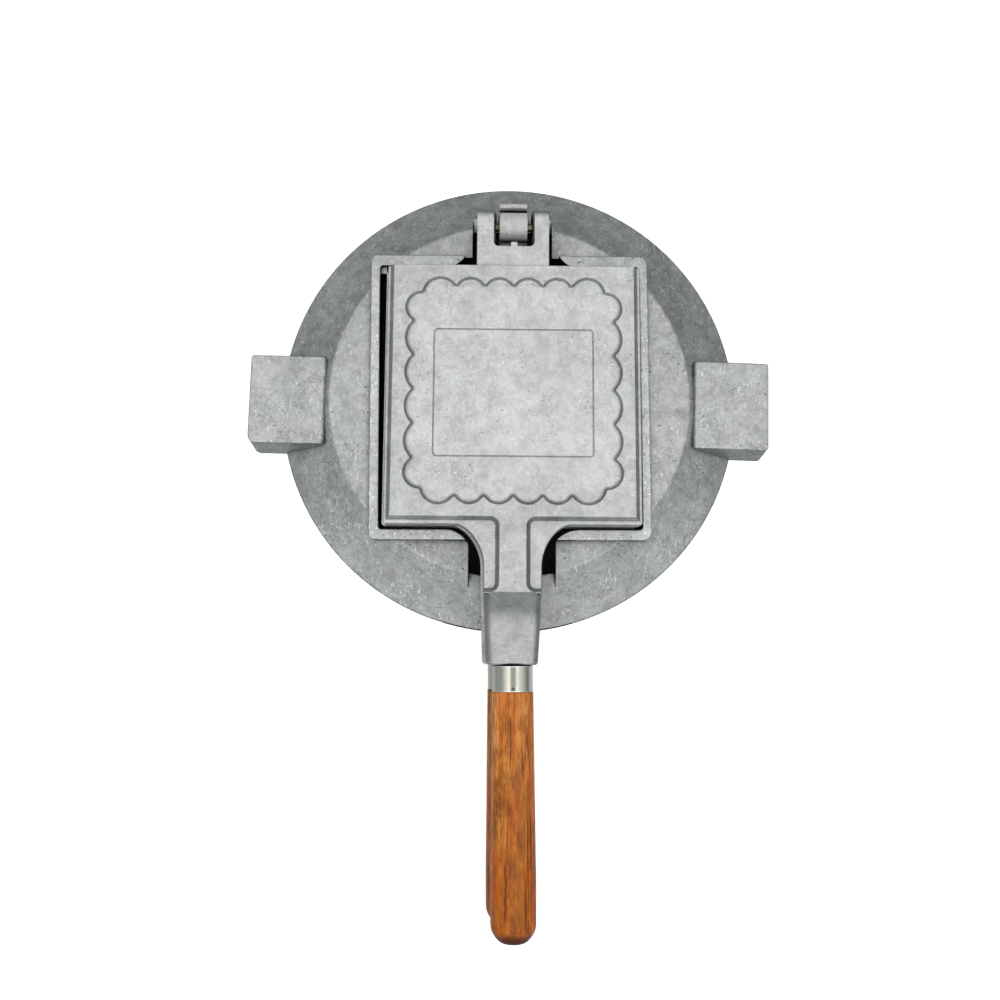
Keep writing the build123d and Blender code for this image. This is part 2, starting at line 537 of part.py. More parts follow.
# ============================================================ lower_plate
with BuildPart() as lower_plate:
    # flange with its arm
    with BuildSketch(plate_plane(-1, FLANGE_H)):
        with Locations((0, (FLANGE_Y0 + FLANGE_Y1) / 2)):
            RectangleRounded(2 * FLANGE_X, FLANGE_Y1 - FLANGE_Y0, 1.3)
        add(ARM)
    extrude(amount=FLANGE_H - GAP)
    fillet(lower_plate.edges().group_by(Axis.Z)[0], 0.7)
    # raised face, which lies downwards in the well, and the rib that rests in the saddle
    loft(
        sections=[
            at(plate_plane(-1, FLANGE_H - 0.3), face_outline(SLOPE)).faces()[0],
            at(plate_plane(-1, FACE_H), face_outline(0.0)).faces()[0],
        ],
        ruled=True,
    )
    add(Pos(LOWER_X, 0, PART_Z) * neck_block(-1))
    # web of the hinge, short enough to leave the fork room
    with BuildSketch(Plane.YZ.offset(IRON_X + WEB_X0 + 0.4)):
        with BuildLine():
            Polyline(
                (FLANGE_Y1 - 1, PART_Z - GAP), (FLANGE_Y1 - 1, PART_Z - WEB_H),
                (LOWER_WEB_Y - 2.5, PART_Z - WEB_H), (LOWER_WEB_Y, PART_Z - WEB_H + 2.5),
                (LOWER_WEB_Y, PART_Z - GAP), close=True,
            )
        make_face()
    extrude(amount=WEB_X1 - WEB_X0 - 1.6)
    # tongue with its round barrel and the tail that lies in the saddle
    with BuildSketch(Plane.YZ.offset(IRON_X + TONGUE_XC - TONGUE_X)):
        with BuildLine():
            Polyline(
                (FLANGE_Y1 - 1, PART_Z - GAP), (PIN_Y, PART_Z - GAP),
                (PIN_Y, PART_Z - 1.6), (TAIL_Y - 5.3, PART_Z - 1.6), (TAIL_Y - 2.8, PART_Z + TAIL_TOP),
                (TAIL_Y - 0.8, PART_Z + TAIL_TOP), (TAIL_Y, PART_Z + TAIL_TOP - 1.2),
                (TAIL_Y + 0.6, PART_Z - FACE_H + 1.5), (TAIL_Y - 0.9, PART_Z - FACE_H),
                (PIN_Y - 13, PART_Z - FACE_H), (PIN_Y - 16, PART_Z - WEB_H), (FLANGE_Y1 - 1, PART_Z - WEB_H),
                close=True,
            )
        make_face()
        with Locations((PIN_Y, PART_Z)):
            Circle(TONGUE_R)
    extrude(amount=2 * TONGUE_X)
    with BuildSketch(Plane.YZ.offset(IRON_X + WEB_X0 - 1)):
        with Locations((PIN_Y, PART_Z)):
            Circle(PIN_R)
    extrude(amount=WEB_X1 - WEB_X0 + 2, mode=Mode.SUBTRACT)
    # scalloped recess and the fine line on the outer face
    loft(
        sections=[
            at(plate_plane(-1, FACE_H), RECESS).faces()[0],
            at(plate_plane(-1, FACE_H - RECESS_STEP), RECESS_MID).faces()[0],
            at(plate_plane(-1, FACE_H - RECESS_DEPTH), RECESS_FLOOR).faces()[0],
        ],
        ruled=True, mode=Mode.SUBTRACT,
    )
    with BuildSketch(plate_plane(-1, FACE_H - RECESS_DEPTH)):
        with Locations((0, BORDER_YC)):
            RectangleRounded(2 * BORDER_X, 2 * BORDER_Y, 2.2)
            RectangleRounded(
                2 * (BORDER_X - BORDER_W), 2 * (BORDER_Y - BORDER_W), 1.6, mode=Mode.SUBTRACT
            )
    extrude(amount=0.35, mode=Mode.SUBTRACT)
    # cooking face
    loft(
        sections=[
            at(plate_plane(-1, GAP), CAVITY).faces()[0],
            at(plate_plane(-1, GAP + CAVITY_DEPTH), CAVITY_FLOOR).faces()[0],
        ],
        ruled=True, mode=Mode.SUBTRACT,
    )
    extrude(at(plate_plane(-1, GAP + CAVITY_DEPTH), LATTICE), amount=0.75)
    extrude(at(plate_plane(-1, GAP + CAVITY_DEPTH), DOTS), amount=0.75)
    extrude(at(plate_plane(-1, GAP + CAVITY_DEPTH), ROSETTE), amount=0.75)
    # tapped hole for the handle's rod
    with BuildPart(mode=Mode.PRIVATE) as bore:
        with BuildSketch(Plane.XZ.offset(-(NECK_Y1 - 1))):
            with Locations((LOWER_X, PART_Z - HANDLE_H)):
                Circle(STUD_BORE)
        extrude(amount=-20.0)
    add(ASKEW_LOWER * bore.part, mode=Mode.SUBTRACT)
lower_plate.part.label = "lower_plate"

# ============================================================== hinge_pin
with BuildPart() as hinge_pin:
    with BuildSketch(Plane.YZ.offset(IRON_X + WEB_X0 + 0.2)):
        with Locations((PIN_Y, PART_Z)):
            Circle(PIN_R)
    extrude(amount=WEB_X1 - WEB_X0 - 0.4)
    chamfer(hinge_pin.edges().filter_by(GeomType.CIRCLE), 0.4)
hinge_pin.part.label = "hinge_pin"


# ================================================================ handles
def wood_profile(end):
    """Half section of a grip, in (distance along Y from the ferrule end, radius)."""
    n = -1  # the grip runs towards -Y
    inner = FERRULE_R - FERRULE_WALL - 0.05
    with BuildLine() as ln:
        Line((0, FERRULE_Y0 - 0.4), (inner - 0.6, FERRULE_Y0 - 0.4))
        Line((inner - 0.6, FERRULE_Y0 - 0.4), (inner, FERRULE_Y0 - 1.0))
        Line((inner, FERRULE_Y0 - 1.0), (inner, WOOD_Y0))
        Line((inner, WOOD_Y0), (WOOD_R0 - 0.35, WOOD_Y0))
        Line((WOOD_R0 - 0.35, WOOD_Y0), (WOOD_R0, WOOD_Y0 - 0.5))
        Spline((WOOD_R0, WOOD_Y0 - 0.5), (10.72, -190.0), (WOOD_R1, -236.0), (11.25, end + 12.8),
               tangents=((0.006, -1.0), (-0.01, -1.0)))
        Spline((11.25, end + 12.8), (10.35, end + 5.2), (8.2, end + 2.2), (0, end),
               tangents=((-0.01, -1.0), (-1.0, 0.0)))
        Line((0, end), (0, FERRULE_Y0 - 0.4))
    return ln


with BuildPart() as upper_handle_grip:
    with BuildSketch(Plane(origin=(IRON_X, 0, PART_Z + HANDLE_H), x_dir=(1, 0, 0), z_dir=(0, 0, 1))):
        with BuildLine():
            add(wood_profile(WOOD_Y1).line)
        make_face()
    revolve(axis=Axis((IRON_X, 0, PART_Z + HANDLE_H), (0, 1, 0)))
    with BuildSketch(Plane.XZ.offset(-(FERRULE_Y0 + 1))):
        with Locations((IRON_X, PART_Z + HANDLE_H)):
            Circle(STUD_BORE)
    extrude(amount=FERRULE_Y0 + 1 - STUD_Y1 + 1.5, mode=Mode.SUBTRACT)
    with BuildSketch(Plane.XY.offset(PART_Z + HANDLE_H + 4.6)):
        with Locations((IRON_X, BRAD_Y)):
            Circle(BRAD_R + 0.02)
    extrude(amount=10, mode=Mode.SUBTRACT)
upper_handle_grip.part = ASKEW * upper_handle_grip.part
upper_handle_grip.part.label = "upper_handle_grip"

with BuildPart() as lower_handle_grip:
    with BuildSketch(Plane(origin=(LOWER_X, 0, PART_Z - HANDLE_H), x_dir=(1, 0, 0), z_dir=(0, 0, 1))):
        with BuildLine():
            add(wood_profile(WOOD_Y2).line)
        make_face()
    revolve(axis=Axis((LOWER_X, 0, PART_Z - HANDLE_H), (0, 1, 0)))
    with BuildSketch(Plane.XZ.offset(-(FERRULE_Y0 + 1))):
        with Locations((LOWER_X, PART_Z - HANDLE_H)):
            Circle(STUD_BORE)
    extrude(amount=FERRULE_Y0 + 1 - STUD_Y1 + 1.5, mode=Mode.SUBTRACT)
    with BuildSketch(Plane.XY.offset(PART_Z - HANDLE_H - 14.6)):
        with Locations((LOWER_X, BRAD_Y)):
            Circle(BRAD_R + 0.02)
    extrude(amount=10, mode=Mode.SUBTRACT)
lower_handle_grip.part = ASKEW_LOWER * lower_handle_grip.part
lower_handle_grip.part.label = "lower_handle_grip"

with BuildPart() as upper_ferrule:
    with BuildSketch(Plane.XZ.offset(-FERRULE_Y0)):
        with Locations((IRON_X, PART_Z + HANDLE_H)):
            Circle(FERRULE_R)
            Circle(FERRULE_R - FERRULE_WALL, mode=Mode.SUBTRACT)
    extrude(amount=FERRULE_Y0 - FERRULE_Y1 - 0.05)
    fillet(upper_ferrule.edges().filter_by(GeomType.CIRCLE).filter_by(lambda e: e.radius > FERRULE_R - 0.1), 0.3)
    with BuildSketch(Plane.XY.offset(PART_Z + HANDLE_H + 4.6)):
        with Locations((IRON_X, BRAD_Y)):
            Circle(BRAD_R + 0.02)
    extrude(amount=10, mode=Mode.SUBTRACT)
upper_ferrule.part = ASKEW * upper_ferrule.part
upper_ferrule.part.label = "upper_ferrule"

with BuildPart() as lower_ferrule:
    with BuildSketch(Plane.XZ.offset(-FERRULE_Y0)):
        with Locations((LOWER_X, PART_Z - HANDLE_H)):
            Circle(FERRULE_R)
            Circle(FERRULE_R - FERRULE_WALL, mode=Mode.SUBTRACT)
    extrude(amount=FERRULE_Y0 - FERRULE_Y1 - 0.05)
    fillet(lower_ferrule.edges().filter_by(GeomType.CIRCLE).filter_by(lambda e: e.radius > FERRULE_R - 0.1), 0.3)
    with BuildSketch(Plane.XY.offset(PART_Z - HANDLE_H - 14.6)):
        with Locations((LOWER_X, BRAD_Y)):
            Circle(BRAD_R + 0.02)
    extrude(amount=10, mode=Mode.SUBTRACT)
lower_ferrule.part = ASKEW_LOWER * lower_ferrule.part
lower_ferrule.part.label = "lower_ferrule"

with BuildPart() as upper_handle_stud:
    with BuildSketch(Plane.XZ.offset(-STUD_Y0)):
        with Locations((IRON_X, PART_Z + HANDLE_H)):
            Circle(STUD_R)
    extrude(amount=STUD_Y0 - STUD_Y1)
    chamfer(upper_handle_stud.edges().filter_by(GeomType.CIRCLE), 0.8)
    # thread, drawn as fine rings where the rod shows between neck and ferrule
    for i in range(5):
        with BuildSketch(Plane.XZ.offset(-(NECK_Y1 + 1.0 - i * 1.25))):
            with Locations((IRON_X, PART_Z + HANDLE_H)):
                Circle(STUD_R + 1)
                Circle(STUD_R - 0.45, mode=Mode.SUBTRACT)
        extrude(amount=0.5, mode=Mode.SUBTRACT)
upper_handle_stud.part = ASKEW * upper_handle_stud.part
upper_handle_stud.part.label = "upper_handle_stud"

with BuildPart() as lower_handle_stud:
    with BuildSketch(Plane.XZ.offset(-STUD_Y0)):
        with Locations((LOWER_X, PART_Z - HANDLE_H)):
            Circle(STUD_R)
    extrude(amount=STUD_Y0 - STUD_Y1)
    chamfer(lower_handle_stud.edges().filter_by(GeomType.CIRCLE), 0.8)
    for i in range(5):
        with BuildSketch(Plane.XZ.offset(-(NECK_Y1 + 1.0 - i * 1.25))):
            with Locations((LOWER_X, PART_Z - HANDLE_H)):
                Circle(STUD_R + 1)
                Circle(STUD_R - 0.45, mode=Mode.SUBTRACT)
        extrude(amount=0.5, mode=Mode.SUBTRACT)
lower_handle_stud.part = ASKEW_LOWER * lower_handle_stud.part
lower_handle_stud.part.label = "lower_handle_stud"

with BuildPart() as upper_ferrule_brad:
    with BuildSketch(Plane.XY.offset(PART_Z + HANDLE_H + 4.7)):
        with Locations((IRON_X, BRAD_Y)):
            Circle(BRAD_R)
    extrude(amount=FERRULE_R - 4.7 - 0.1)
    fillet(upper_ferrule_brad.edges().group_by(Axis.Z)[-1], 0.3)
upper_ferrule_brad.part = ASKEW * upper_ferrule_brad.part
upper_ferrule_brad.part.label = "upper_ferrule_brad"

with BuildPart() as lower_ferrule_brad:
    with BuildSketch(Plane.XY.offset(PART_Z - HANDLE_H - FERRULE_R + 0.1)):
        with Locations((LOWER_X, BRAD_Y)):
            Circle(BRAD_R)
    extrude(amount=FERRULE_R - 4.7 - 0.1)
    fillet(lower_ferrule_brad.edges().group_by(Axis.Z)[0], 0.3)
lower_ferrule_brad.part = ASKEW_LOWER * lower_ferrule_brad.part
lower_ferrule_brad.part.label = "lower_ferrule_brad"

export_step(base_stand.part, "parts/base_stand.step")
export_step(upper_plate.part, "parts/upper_plate.step")
export_step(lower_plate.part, "parts/lower_plate.step")
export_step(hinge_pin.part, "parts/hinge_pin.step")
export_step(upper_handle_grip.part, "parts/upper_handle_grip.step")
export_step(lower_handle_grip.part, "parts/lower_handle_grip.step")
export_step(upper_ferrule.part, "parts/upper_ferrule.step")
export_step(lower_ferrule.part, "parts/lower_ferrule.step")
export_step(upper_handle_stud.part, "parts/upper_handle_stud.step")
export_step(lower_handle_stud.part, "parts/lower_handle_stud.step")
export_step(upper_ferrule_brad.part, "parts/upper_ferrule_brad.step")
export_step(lower_ferrule_brad.part, "parts/lower_ferrule_brad.step")

for piece in (
    base_stand, upper_plate, lower_plate, hinge_pin, upper_handle_grip, lower_handle_grip,
    upper_ferrule, lower_ferrule, upper_handle_stud, lower_handle_stud,
    upper_ferrule_brad, lower_ferrule_brad,
):
    b = piece.part.bounding_box()
    print(
        f"{piece.part.label:20s} solids {len(piece.part.solids())} volume {piece.part.volume:10.1f}"
        f"  x {b.min.X:8.2f} {b.max.X:8.2f}  y {b.min.Y:8.2f} {b.max.Y:8.2f}  z {b.min.Z:7.2f} {b.max.Z:7.2f}"
    )
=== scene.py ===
import bpy, math
from mathutils import Matrix, Vector

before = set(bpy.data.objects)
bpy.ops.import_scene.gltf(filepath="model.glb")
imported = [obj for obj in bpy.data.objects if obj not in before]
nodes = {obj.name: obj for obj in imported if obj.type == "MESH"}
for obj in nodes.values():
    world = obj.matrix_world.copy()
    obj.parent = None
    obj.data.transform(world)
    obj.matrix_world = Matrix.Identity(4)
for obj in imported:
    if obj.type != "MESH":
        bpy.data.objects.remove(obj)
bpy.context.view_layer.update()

scene = bpy.context.scene
scene.view_settings.view_transform = "Standard"
scene.view_settings.look = "None"
scene.view_settings.exposure = 0.0
scene.view_settings.gamma = 1.0

# ------------------------------------------------------------------ camera
CAM_LENS_F = 1007.064          # focal length in pixels of a 1000 pixel wide picture
cam_data = bpy.data.cameras.new("view_camera")
cam_data.sensor_fit = "HORIZONTAL"
cam_data.sensor_width = 36.0
cam_data.lens = CAM_LENS_F * 36.0 / 1000.0
cam_data.clip_start = 0.01
cam_data.clip_end = 50.0
cam = bpy.data.objects.new("view_camera", cam_data)
scene.collection.objects.link(cam)
cam.matrix_world = Matrix((
    (0.999891, -0.0080136, -0.0124041, -0.01158617),
    (0.0062835, 0.9909993, -0.1337192, -0.12779803),
    (0.013364, 0.1336267, 0.9909416, 0.55051911),
    (0.0, 0.0, 0.0, 1.0),
))
scene.camera = cam


# ------------------------------------------------------------- node helpers
class Nodes:
    """Small helper that adds nodes to one tree and links them."""

    def __init__(self, tree):
        self.t = tree
        self.x = 0

    def add(self, kind, **props):
        n = self.t.nodes.new(kind)
        self.x += 60
        n.location = (self.x, -self.x * 0.3)
        for k, v in props.items():
            setattr(n, k, v)
        return n

    def link(self, a, b):
        self.t.links.new(a, b)

    def put(self, socket, value):
        if isinstance(value, bpy.types.NodeSocket):
            self.link(value, socket)
        else:
            socket.default_value = value

    def math(self, op, a, b=None, c=None, clamp=False):
        n = self.add("ShaderNodeMath", operation=op, use_clamp=clamp)
        self.put(n.inputs[0], a)
        if b is not None:
            self.put(n.inputs[1], b)
        if c is not None:
            self.put(n.inputs[2], c)
        return n.outputs[0]

    def vmath(self, op, a, b=None):
        n = self.add("ShaderNodeVectorMath", operation=op)
        self.put(n.inputs[0], a)
        if b is not None:
            if op == "SCALE":
                self.put(n.inputs[3], b)
            else:
                self.put(n.inputs[1], b)
        return n.outputs[1] if op in ("LENGTH", "DOT_PRODUCT", "DISTANCE") else n.outputs[0]

    def mapping(self, vec, scale=(1, 1, 1), rot=(0, 0, 0), loc=(0, 0, 0)):
        n = self.add("ShaderNodeMapping")
        self.put(n.inputs["Vector"], vec)
        n.inputs["Scale"].default_value = scale
        n.inputs["Rotation"].default_value = rot
        n.inputs["Location"].default_value = loc
        return n.outputs[0]

    def noise(self, vec, scale, detail=2.0, rough=0.5, distortion=0.0, out="Fac"):
        n = self.add("ShaderNodeTexNoise")
        self.put(n.inputs["Vector"], vec)
        n.inputs["Scale"].default_value = scale
        n.inputs["Detail"].default_value = detail
        n.inputs["Roughness"].default_value = rough
        n.inputs["Distortion"].default_value = distortion
        return n.outputs[out]

    def voronoi(self, vec, scale, rnd=1.0, feature="F1"):
        n = self.add("ShaderNodeTexVoronoi", feature=feature)
        self.put(n.inputs["Vector"], vec)
        n.inputs["Scale"].default_value = scale
        n.inputs["Randomness"].default_value = rnd
        return n

    def ramp(self, fac, stops, interp="LINEAR"):
        n = self.add("ShaderNodeValToRGB")
        cr = n.color_ramp
        cr.interpolation = interp
        while len(cr.elements) > 1:
            cr.elements.remove(cr.elements[-1])
        first = True
        for pos, col in stops:
            if isinstance(col, (int, float)):
                col = (col, col, col, 1)
            elif len(col) == 3:
                col = (*col, 1)
            if first:
                e = cr.elements[0]
                e.position = pos
                first = False
            else:
                e = cr.elements.new(pos)
            e.color = col
        self.put(n.inputs[0], fac)
        return n.outputs[0]

    def step(self, value, lo, hi, out_lo=0.0, out_hi=1.0):
        n = self.add("ShaderNodeMapRange", interpolation_type="SMOOTHSTEP")
        self.put(n.inputs["Value"], value)
        n.inputs["From Min"].default_value = lo
        n.inputs["From Max"].default_value = hi
        n.inputs["To Min"].default_value = out_lo
        n.inputs["To Max"].default_value = out_hi
        return n.outputs[0]

    def mix(self, fac, a, b, blend="MIX"):
        n = self.add("ShaderNodeMix", data_type="RGBA", blend_type=blend)
        self.put(n.inputs["Factor"], fac)
        for sock, v in ((n.inputs[6], a), (n.inputs[7], b)):
            if isinstance(v, bpy.types.NodeSocket):
                self.link(v, sock)
            else:
                sock.default_value = (*v, 1) if len(v) == 3 else v
        return n.outputs[2]


def new_material(name):
    m = bpy.data.materials.new(name)
    m.use_nodes = True
    m.node_tree.nodes.clear()
    g = Nodes(m.node_tree)
    out = g.add("ShaderNodeOutputMaterial")
    bsdf = g.add("ShaderNodeBsdfPrincipled")
    g.link(bsdf.outputs[0], out.inputs["Surface"])
    return m, g, bsdf


# ---------------------------------------------------------------- castings
def grey(g, value):
    n = g.add("ShaderNodeCombineColor")
    for i in range(3):
        g.put(n.inputs[i], value)
    return n.outputs[0]


def cells(g, vec, scale, channel, lo, radius):
    """Round spots in some cells of a voronoi texture."""
    v = g.voronoi(vec, scale)
    sep = g.add("ShaderNodeSeparateColor")
    g.link(v.outputs["Color"], sep.inputs[0])
    size = g.step(sep.outputs[channel], lo, 1.0, 0.0, radius)
    return g.math("SUBTRACT", 1.0, g.math("DIVIDE", v.outputs["Distance"], g.math("ADD", size, 0.0005)), clamp=True)


def cast_metal(name, base, tint_a, tint_b, offset, rough=0.46, grain_amp=0.2, pit=1.0, fleck=1.0, scratch=1.0,
               corner_shade=0.5, neck=None, steep=1.0, well=False, mott=0.20, tail=False, face=None):
    """As-cast aluminium: mottled tone, sand grain, pits, light flecks and short scratches, with painted highlights on
    the edges and painted shade in gaps, corners and on steep faces.
    """
    m, g, bsdf = new_material(name)
    tc = g.add("ShaderNodeTexCoord")
    mm = g.vmath("SCALE", tc.outputs["Object"], 1000.0)          # millimetres
    p = g.vmath("ADD", mm, offset)

    def at(x, y, z):
        return g.vmath("ADD", p, (x, y, z))

    cloud = g.noise(p, 0.028, 3.0, 0.55)
    mottle = g.noise(p, 0.15, 4.0, 0.62, 0.5)
    grain = g.noise(p, 0.60, 3.0, 0.6)
    sand = g.noise(p, 2.2, 2.0, 0.6)

    # tone
    tone = g.math("ADD", g.math("MULTIPLY", g.step(cloud, 0.3, 0.7), 0.14),
                  g.math("MULTIPLY", g.step(mottle, 0.30, 0.70), mott))
    tone = g.math("ADD", tone, g.math("MULTIPLY", g.step(grain, 0.3, 0.7), grain_amp))
    tone = g.math("ADD", tone, g.math("MULTIPLY", g.step(sand, 0.3, 0.7), grain_amp * 0.35))
    tone = g.math("ADD", tone, 1.0 - 0.07 - mott * 0.5 - grain_amp * 0.68)
    tint = g.mix(g.step(g.noise(at(37.0, 11.0, 5.0), 0.045, 3.0, 0.6), 0.38, 0.62), tint_a, tint_b)
    warm = g.step(g.noise(at(91.0, 71.0, 15.0), 0.10, 2.0, 0.6), 0.56, 0.68)
    tint = g.mix(g.math("MULTIPLY", warm, 0.5), tint, (1.02, 0.985, 0.985, 1))
    col = g.mix(1.0, (*base, 1), tint, "MULTIPLY")
    col = g.mix(1.0, col, grey(g, tone), "MULTIPLY")

    # clusters in which marks are dense
    spots = g.step(g.noise(at(11.0, 51.0, 3.0), 0.055, 2.0, 0.5), 0.42, 0.62)
    spots2 = g.step(g.noise(at(61.0, 21.0, 33.0), 0.06, 2.0, 0.5), 0.50, 0.62)

    # pits
    pits1 = g.math("MULTIPLY", g.step(cells(g, at(3.1, 7.7, 1.3), 0.22, 0, 0.78, 0.16), 0.0, 0.5), spots2)
    pits2 = g.step(cells(g, at(13.1, 2.7, 9.3), 0.50, 1, 0.93, 0.30), 0.0, 0.6)
    dark = g.math("MULTIPLY", g.step(g.noise(at(7.0, 77.0, 1.0), 0.80, 2.0, 0.6), 0.615, 0.69), g.math("ADD", g.math("MULTIPLY", spots2, 0.9), 0.1))
    pits = g.math("MULTIPLY", g.math("MAXIMUM", pits1, pits2), pit)
    dark = g.math("MULTIPLY", dark, pit)

    # light flecks, left where the skin of the casting is bruised
    f1 = g.step(g.noise(at(23.0, 5.0, 61.0), 0.70, 3.0, 0.62), 0.590, 0.660)
    f2 = g.step(g.noise(at(73.0, 35.0, 21.0), 1.3, 2.0, 0.6), 0.63, 0.70)
    flecks = g.math("MAXIMUM", g.math("MULTIPLY", f1, spots), g.math("MULTIPLY", f2, g.math("ADD", g.math("MULTIPLY", spots, 0.7), 0.3)))
    flecks = g.math("MULTIPLY", flecks, fleck)

    # short scratches in a few directions
    lines = None
    for ang, stretch, sc, seed in ((0.35, 0.42, 0.95, 1.0), (1.30, 0.34, 0.95, 9.0), (2.2, 0.16, 0.85, 17.0), (0.85, 0.20, 0.9, 29.0), (2.75, 0.36, 0.9, 41.0)):
        q = g.mapping(at(seed * 3.0, seed * 5.0, seed), (1.0, stretch, 0.4), (0, 0, ang))
        line = g.step(g.noise(q, sc, 2.5, 0.55), 0.635, 0.675)
        gate = g.step(g.noise(at(seed * 7.0, 3.0, seed * 2.0), 0.045, 1.0), 0.50, 0.58)
        line = g.math("MULTIPLY", line, gate)
        lines = line if lines is None else g.math("MAXIMUM", lines, line)
    lines = g.math("MULTIPLY", lines, scratch)

    # painted highlight along the edges; painted shade in narrow gaps and inner corners
    bevel = g.add("ShaderNodeBevel", samples=4)
    bevel.inputs["Radius"].default_value = 0.0006
    geo = g.add("ShaderNodeNewGeometry")
    edge = g.math("SUBTRACT", 1.0, g.vmath("DOT_PRODUCT", bevel.outputs[0], geo.outputs["Normal"]))
    edge = g.step(edge, 0.01, 0.18)
    # painted shade: darker where nearby surfaces close in, in corners and recesses
    ao = g.add("ShaderNodeAmbientOcclusion", samples=6, only_local=True)
    ao.inputs["Distance"].default_value = 0.0048
    painted_corner_shade = g.math("MULTIPLY", g.step(ao.outputs["AO"], 0.36, 0.97, 1.0, 0.0), corner_shade)
    deep = g.add("ShaderNodeAmbientOcclusion", samples=8)
    deep.inputs["Distance"].default_value = 0.018
    gap = g.step(deep.outputs["AO"], 0.20, 0.63, 0.02, 1.0)
    # painted shade: faces that stand steeply are darker
    up = g.add("ShaderNodeSeparateXYZ")
    g.link(tc.outputs["Normal"], up.inputs[0])
    pos = g.add("ShaderNodeSeparateXYZ")
    g.link(mm, pos.inputs[0])
    if tail:
        # the barrel and the tail behind the fork catch the light
        behind = g.math("MULTIPLY", g.step(pos.outputs[1], 84.0, 86.0), g.step(pos.outputs[2], 25.5, 26.5))
        gap = g.math("MAXIMUM", gap, g.math("MULTIPLY", behind, 1.0))
    steep_face_shade = g.step(g.math("ABSOLUTE", up.outputs[2]), 0.70, 0.82, steep, 1.0)
    if face:
        # painted shade on the steep walls in the corners of the recess and of the arm's ribs; the recess floor is the
        # brightest
        ox = g.math("ABSOLUTE", g.math("SUBTRACT", pos.outputs[0], face[0]))
        inner = g.math("MAXIMUM", g.math("MULTIPLY", g.step(ox, 59.0, 60.0, 1.0, 0.0), g.step(pos.outputs[1], -60.0, -58.0)),
                       g.math("MULTIPLY", g.step(ox, 25.0, 26.0, 1.0, 0.0), g.step(pos.outputs[1], -102.0, -66.0, 1.0, 1.0)))
        inner = g.math("MULTIPLY", inner, g.step(g.math("ABSOLUTE", up.outputs[2]), 0.80, 0.95, 1.0, 0.0))
        steep_face_shade = g.math("MULTIPLY", steep_face_shade, g.math("SUBTRACT", 1.0, g.math("MULTIPLY", inner, 0.24)))
        far = g.math("ABSOLUTE", g.math("SUBTRACT", pos.outputs[2], 25.2))
        floor = g.math("MULTIPLY", g.step(far, face[1] - 1.3, face[1] - 0.4, 1.0, 0.0),
                       g.math("MULTIPLY", g.step(ox, 58.0, 60.0, 1.0, 0.0),
                              g.math("MULTIPLY", g.step(pos.outputs[1], -62.0, -60.0), g.step(pos.outputs[1], 60.0, 62.0, 1.0, 0.0))))
        gap = g.math("MULTIPLY", gap, g.math("ADD", g.math("MULTIPLY", floor, 0.075), 0.96))
    steep_face_shade = g.math("MAXIMUM", steep_face_shade, g.step(pos.outputs[1], -106.0, -101.0, 1.0, 0.0))
    steep_face_shade = g.math("MAXIMUM", steep_face_shade, g.step(pos.outputs[1], 73.0, 76.0))
    # the painted shade is kept light along the near side of the plates
    near = g.math("MULTIPLY", g.step(g.math("ABSOLUTE", pos.outputs[0]), 66.0, 70.0, 1.0, 0.0),
                  g.math("MULTIPLY", g.step(pos.outputs[1], -77.0, -75.5), g.step(pos.outputs[1], -62.0, -66.0)))
    gap = g.math("MAXIMUM", gap, g.math("MULTIPLY", near, 0.90))
    gap = g.math("MULTIPLY", gap, steep_face_shade)
    if well:
        # painted shade: the walls of the well and of the two cuts are painted black, and faces that point down are
        # darker; the bar's top is lighter
        hx = g.math("ABSOLUTE", pos.outputs[0])
        hy = g.math("ABSOLUTE", pos.outputs[1])
        cx = g.math("ABSOLUTE", g.math("SUBTRACT", pos.outputs[0], 1.3))
        a = g.math("MULTIPLY", g.step(hx, 72.4, 73.2, 1.0, 0.0), g.step(hy, 73.4, 74.2, 1.0, 0.0))
        a = g.math("MULTIPLY", a, g.step(pos.outputs[2], 21.3, 21.8, 1.0, 0.0))
        b = g.math("MULTIPLY", g.step(cx, 24.3, 24.9, 1.0, 0.0), g.step(hy, 94.9, 95.3, 1.0, 0.0))
        b = g.math("MULTIPLY", b, g.step(pos.outputs[2], 16.9, 17.3, 1.0, 0.0))
        c = g.math("MULTIPLY", g.step(hx, 34.5, 35.5, 1.0, 0.0),
                   g.math("MAXIMUM", g.step(hy, 77.4, 77.8, 1.0, 0.0),
                          g.math("MULTIPLY", g.step(pos.outputs[1], 78.9, 79.3, 1.0, 0.0), g.step(up.outputs[1], 0.4, 0.6, 1.0, 0.0))))
        c = g.math("MULTIPLY", c, g.step(pos.outputs[2], 21.3, 21.8, 1.0, 0.0))
        well_wall_shade = g.math("MULTIPLY", g.math("MAXIMUM", g.math("MAXIMUM", a, b), c), g.step(up.outputs[2], 0.55, 0.85, 1.0, 0.0))
        under = g.step(up.outputs[2], -0.75, -0.35, 0.55, 0.0)
        gap = g.math("MULTIPLY", gap, g.math("SUBTRACT", 1.0, g.math("MULTIPLY", g.math("MAXIMUM", well_wall_shade, under), 0.96)))
        bar = g.math("SUBTRACT", 1.34, g.step(pos.outputs[1], 55.0, 75.0, 0.0, 0.16))
        bar = g.mix(g.step(pos.outputs[2], 22.9, 23.4), g.mix(g.step(pos.outputs[2], 21.2, 22.0), (1, 1, 1, 1), grey(g, bar)), (1.0, 1.0, 1.0, 1))
        gap = g.math("MULTIPLY", gap, bar)
